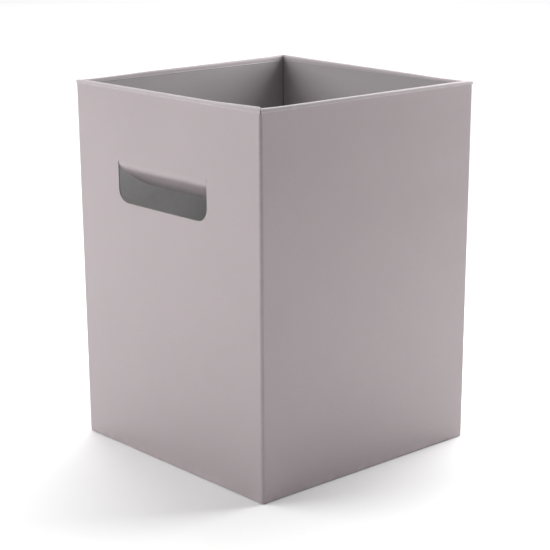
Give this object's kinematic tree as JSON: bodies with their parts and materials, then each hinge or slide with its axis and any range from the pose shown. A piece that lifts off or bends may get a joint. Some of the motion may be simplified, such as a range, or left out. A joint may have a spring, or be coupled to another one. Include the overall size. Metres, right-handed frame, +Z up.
{
  "type": "wastebasket",
  "caption": "Square folding waste box of pearlescent board with turned-in rims, a hooked base and push-in hand flaps in two opposite walls.",
  "frame": {"origin": "centre of the underside, on the surface it stands on", "axes": "+Z up out of the open mouth; the two walls with hand holes are at -X (left) and +X (right), the plain walls at -Y (front) and +Y (back)"},
  "size_m": [0.18, 0.18, 0.24],
  "materials": {
    "pearl_face": "satin",
    "pearl_rim": "satin",
    "pearl_lining": "satin",
    "board_back": "matte"
  },
  "bodies": {
    "shell": {"front_wall": "pearl_face", "right_wall": "pearl_face", "back_wall": "pearl_face", "left_wall": "pearl_face", "glue_tab": "board_back", "front_base_flap": "board_back", "back_base_flap": "board_back", "left_base_flap": "board_back", "right_base_flap": "board_back", "left_base_wing": "board_back", "right_base_wing": "board_back"},
    "front_rim": {"front_rim_fold": "pearl_rim"},
    "front_hem": {"front_lining": "pearl_lining"},
    "right_rim": {"right_rim_fold": "pearl_rim"},
    "right_hem": {"right_lining": "pearl_lining"},
    "back_rim": {"back_rim_fold": "pearl_rim"},
    "back_hem": {"back_lining": "pearl_lining"},
    "left_rim": {"left_rim_fold": "pearl_rim"},
    "left_hem": {"left_lining": "pearl_lining"},
    "left_flap": {"left_hand_flap": "pearl_face"},
    "right_flap": {"right_hand_flap": "pearl_face"}
  },
  "joints": [
    {"name": "front_rim_crease", "type": "hinge", "parent": "shell", "child": "front_rim", "pos_m": [0, -0.08999, 0.2373], "axis": [1, 0, 0], "range_deg": [0, 90]},
    {"name": "front_lining_crease", "type": "hinge", "parent": "front_rim", "child": "front_hem", "pos_m": [0, -0.08719, 0.2373], "axis": [1, 0, 0], "range_deg": [0, 90]},
    {"name": "right_rim_crease", "type": "hinge", "parent": "shell", "child": "right_rim", "pos_m": [0.08999, 0, 0.2373], "axis": [0, 1, 0], "range_deg": [0, 90]},
    {"name": "right_lining_crease", "type": "hinge", "parent": "right_rim", "child": "right_hem", "pos_m": [0.08719, 0, 0.2373], "axis": [0, 1, 0], "range_deg": [0, 90]},
    {"name": "back_rim_crease", "type": "hinge", "parent": "shell", "child": "back_rim", "pos_m": [0, 0.08999, 0.2373], "axis": [-1, 0, 0], "range_deg": [0, 90]},
    {"name": "back_lining_crease", "type": "hinge", "parent": "back_rim", "child": "back_hem", "pos_m": [0, 0.08719, 0.2373], "axis": [-1, 0, 0], "range_deg": [0, 90]},
    {"name": "left_rim_crease", "type": "hinge", "parent": "shell", "child": "left_rim", "pos_m": [-0.08999, 0, 0.2373], "axis": [0, -1, 0], "range_deg": [0, 90]},
    {"name": "left_lining_crease", "type": "hinge", "parent": "left_rim", "child": "left_hem", "pos_m": [-0.08719, 0, 0.2373], "axis": [0, -1, 0], "range_deg": [0, 90]},
    {"name": "left_hand_flap_crease", "type": "hinge", "parent": "shell", "child": "left_flap", "pos_m": [-0.08859, 0, 0.189], "axis": [0, -1, 0], "range_deg": [-55, 100]},
    {"name": "right_hand_flap_crease", "type": "hinge", "parent": "shell", "child": "right_flap", "pos_m": [0.08859, 0, 0.189], "axis": [0, 1, 0], "range_deg": [-55, 100]}
  ]
}
